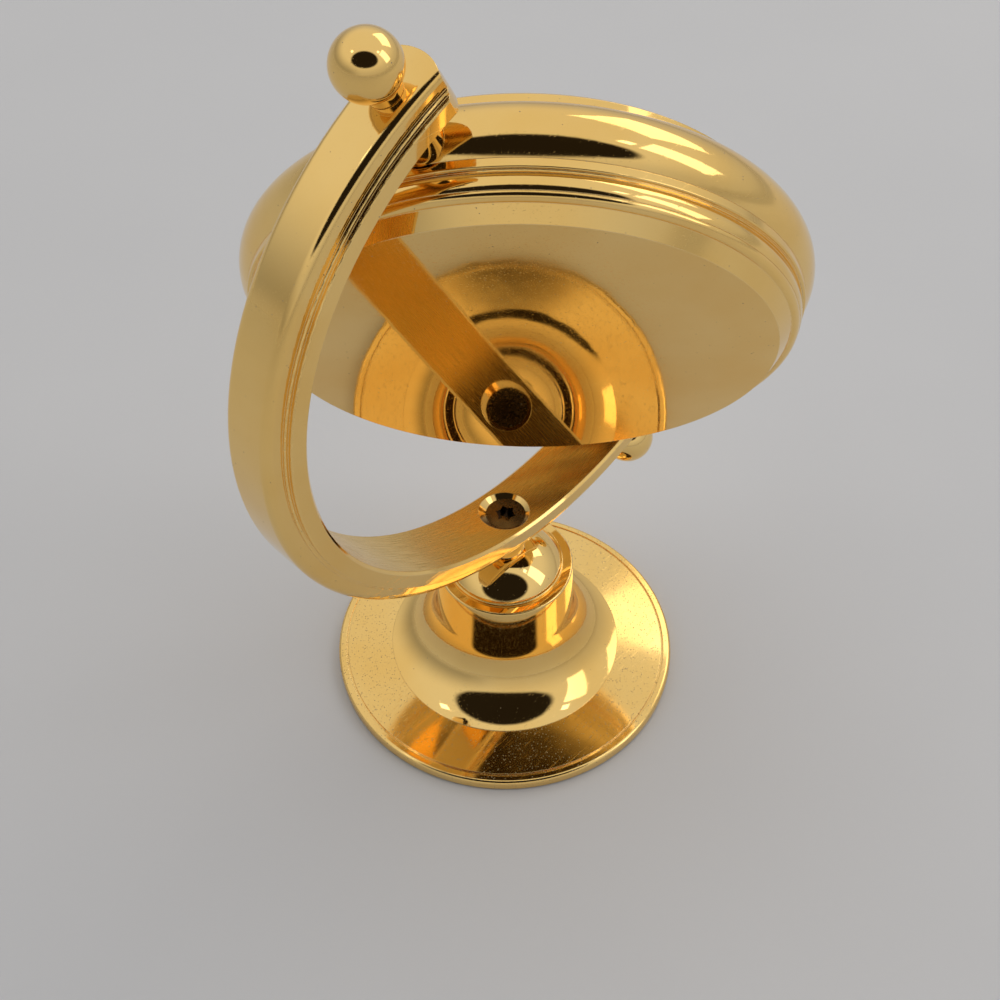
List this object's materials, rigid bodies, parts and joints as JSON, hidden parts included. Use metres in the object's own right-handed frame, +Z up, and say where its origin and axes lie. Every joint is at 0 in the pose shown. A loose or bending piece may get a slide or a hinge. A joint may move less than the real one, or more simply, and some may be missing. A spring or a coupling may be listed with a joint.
{
  "type": "globe desk clock",
  "caption": "Gold-plated globe desk clock: a drum clock head turning on tilted pivots in a meridian arm over a turned round foot.",
  "frame": {"origin": "centre of the felt pad's underside, on the table", "axes": "+Z up along the stem; the meridian arm lies in the XZ plane and bulges to -X; the dial at rest faces +X, +Y and a little up"},
  "size_m": [0.0696, 0.0562, 0.1144],
  "materials": {
    "polished_gold": "mirror-polished gold plate",
    "back_gold": "mirror-polished gold plate, fine wipe marks",
    "arm_gold": "gold plate, polished outside and lengthways satin on the inner face",
    "black_steel": "black oxide, oiled",
    "zinc_steel": "zinc plated",
    "felt": "black felt",
    "crystal_glass": "clear mineral glass",
    "gasket_rubber": "black",
    "dial_ring_gold": "satin gold",
    "dial_paint": "matt ivory",
    "hand_black": "gloss black",
    "holder_plastic": "moulded white",
    "movement_plastic": "moulded black",
    "small_steel": "nickel plated",
    "cell_steel": "bright steel can",
    "board_green": "green solder mask",
    "can_nickel": "nickel can",
    "core_iron": "soft iron, plain",
    "copper_wire": "enamelled copper winding",
    "rotor_magnet": "bonded magnet",
    "white_gear": "natural moulded plastic",
    "brass_gear": "machined",
    "setting_brass": "machined",
    "knob_plastic": "moulded black"
  },
  "bodies": {
    "stand": {"foot": "polished_gold", "base_pad": "felt", "base_washer": "zinc_steel", "base_bolt": "zinc_steel", "stem": "polished_gold", "collar": "polished_gold", "meridian_arm": "arm_gold", "arm_screw": "black_steel"},
    "clock_head": {"bezel": "polished_gold", "case_ring": "polished_gold", "crystal": "crystal_glass", "crystal_gasket": "gasket_rubber", "dial_ring": "dial_ring_gold", "dial": "dial_paint", "movement_holder": "holder_plastic", "movement_plate": "movement_plastic", "movement_cover": "movement_plastic", "movement_screws": "small_steel", "battery": "cell_steel", "battery_contact": "small_steel", "battery_clip": "small_steel", "circuit_board": "board_green", "quartz_can": "can_nickel", "stator": "core_iron", "coil_core": "core_iron", "coil": "copper_wire", "upper_finial": "polished_gold", "lower_finial": "polished_gold", "upper_spacer": "polished_gold", "lower_spacer": "polished_gold"},
    "back": {"back_cover": "back_gold"},
    "second_train": {"second_wheel": "brass_gear", "second_hand": "hand_black"},
    "minute_train": {"centre_wheel": "brass_gear", "minute_hand": "hand_black"},
    "hour_train": {"hour_wheel": "brass_gear", "hour_hand": "hand_black"},
    "third_train": {"third_wheel": "white_gear"},
    "intermediate_train": {"intermediate_wheel": "white_gear"},
    "rotor_train": {"rotor": "rotor_magnet"},
    "motion_train": {"minute_wheel": "white_gear"},
    "setting_train": {"setting_arbor": "setting_brass", "setting_knob": "knob_plastic"}
  },
  "joints": [
    {"name": "head_turn", "type": "hinge", "parent": "stand", "child": "clock_head", "pos_m": [0.0032, 0, 0.06905], "axis": [-0.4695, 0, 0.8829], "continuous": true},
    {"name": "back_cover_pull", "type": "slide", "parent": "clock_head", "child": "back", "axis": [-0.6764, -0.6428, -0.3596], "range_m": [0, 0.01]},
    {"name": "second_spin", "type": "hinge", "parent": "clock_head", "child": "second_train", "pos_m": [0.0032, 0, 0.06905], "axis": [0.6764, 0.6428, 0.3596], "continuous": true},
    {"name": "minute_spin", "type": "hinge", "parent": "clock_head", "child": "minute_train", "pos_m": [0.0032, 0, 0.06905], "axis": [0.6764, 0.6428, 0.3596], "continuous": true},
    {"name": "hour_spin", "type": "hinge", "parent": "clock_head", "child": "hour_train", "pos_m": [0.0032, 0, 0.06905], "axis": [0.6764, 0.6428, 0.3596], "continuous": true},
    {"name": "third_spin", "type": "hinge", "parent": "clock_head", "child": "third_train", "pos_m": [0.00007, 0.00017, 0.07463], "axis": [0.6764, 0.6428, 0.3596], "continuous": true},
    {"name": "intermediate_spin", "type": "hinge", "parent": "clock_head", "child": "intermediate_train", "pos_m": [-0.00094, 0.00501, 0.06789], "axis": [0.6764, 0.6428, 0.3596], "continuous": true},
    {"name": "rotor_spin", "type": "hinge", "parent": "clock_head", "child": "rotor_train", "pos_m": [-0.00119, 0.00793, 0.06312], "axis": [0.6764, 0.6428, 0.3596], "continuous": true},
    {"name": "motion_spin", "type": "hinge", "parent": "clock_head", "child": "motion_train", "pos_m": [0.00634, -0.00379, 0.06993], "axis": [0.6764, 0.6428, 0.3596], "continuous": true},
    {"name": "setting_spin", "type": "hinge", "parent": "clock_head", "child": "setting_train", "pos_m": [0.00963, -0.00778, 0.07085], "axis": [0.6764, 0.6428, 0.3596], "continuous": true}
  ],
  "couplings": [
    {"joint": "minute_spin", "follows": "second_spin", "ratio": 0.016667},
    {"joint": "hour_spin", "follows": "second_spin", "ratio": 0.0013889},
    {"joint": "third_spin", "follows": "second_spin", "ratio": -0.13333},
    {"joint": "intermediate_spin", "follows": "second_spin", "ratio": -5},
    {"joint": "rotor_spin", "follows": "second_spin", "ratio": 30},
    {"joint": "motion_spin", "follows": "second_spin", "ratio": -0.0055556},
    {"joint": "setting_spin", "follows": "second_spin", "ratio": 0.013889}
  ]
}
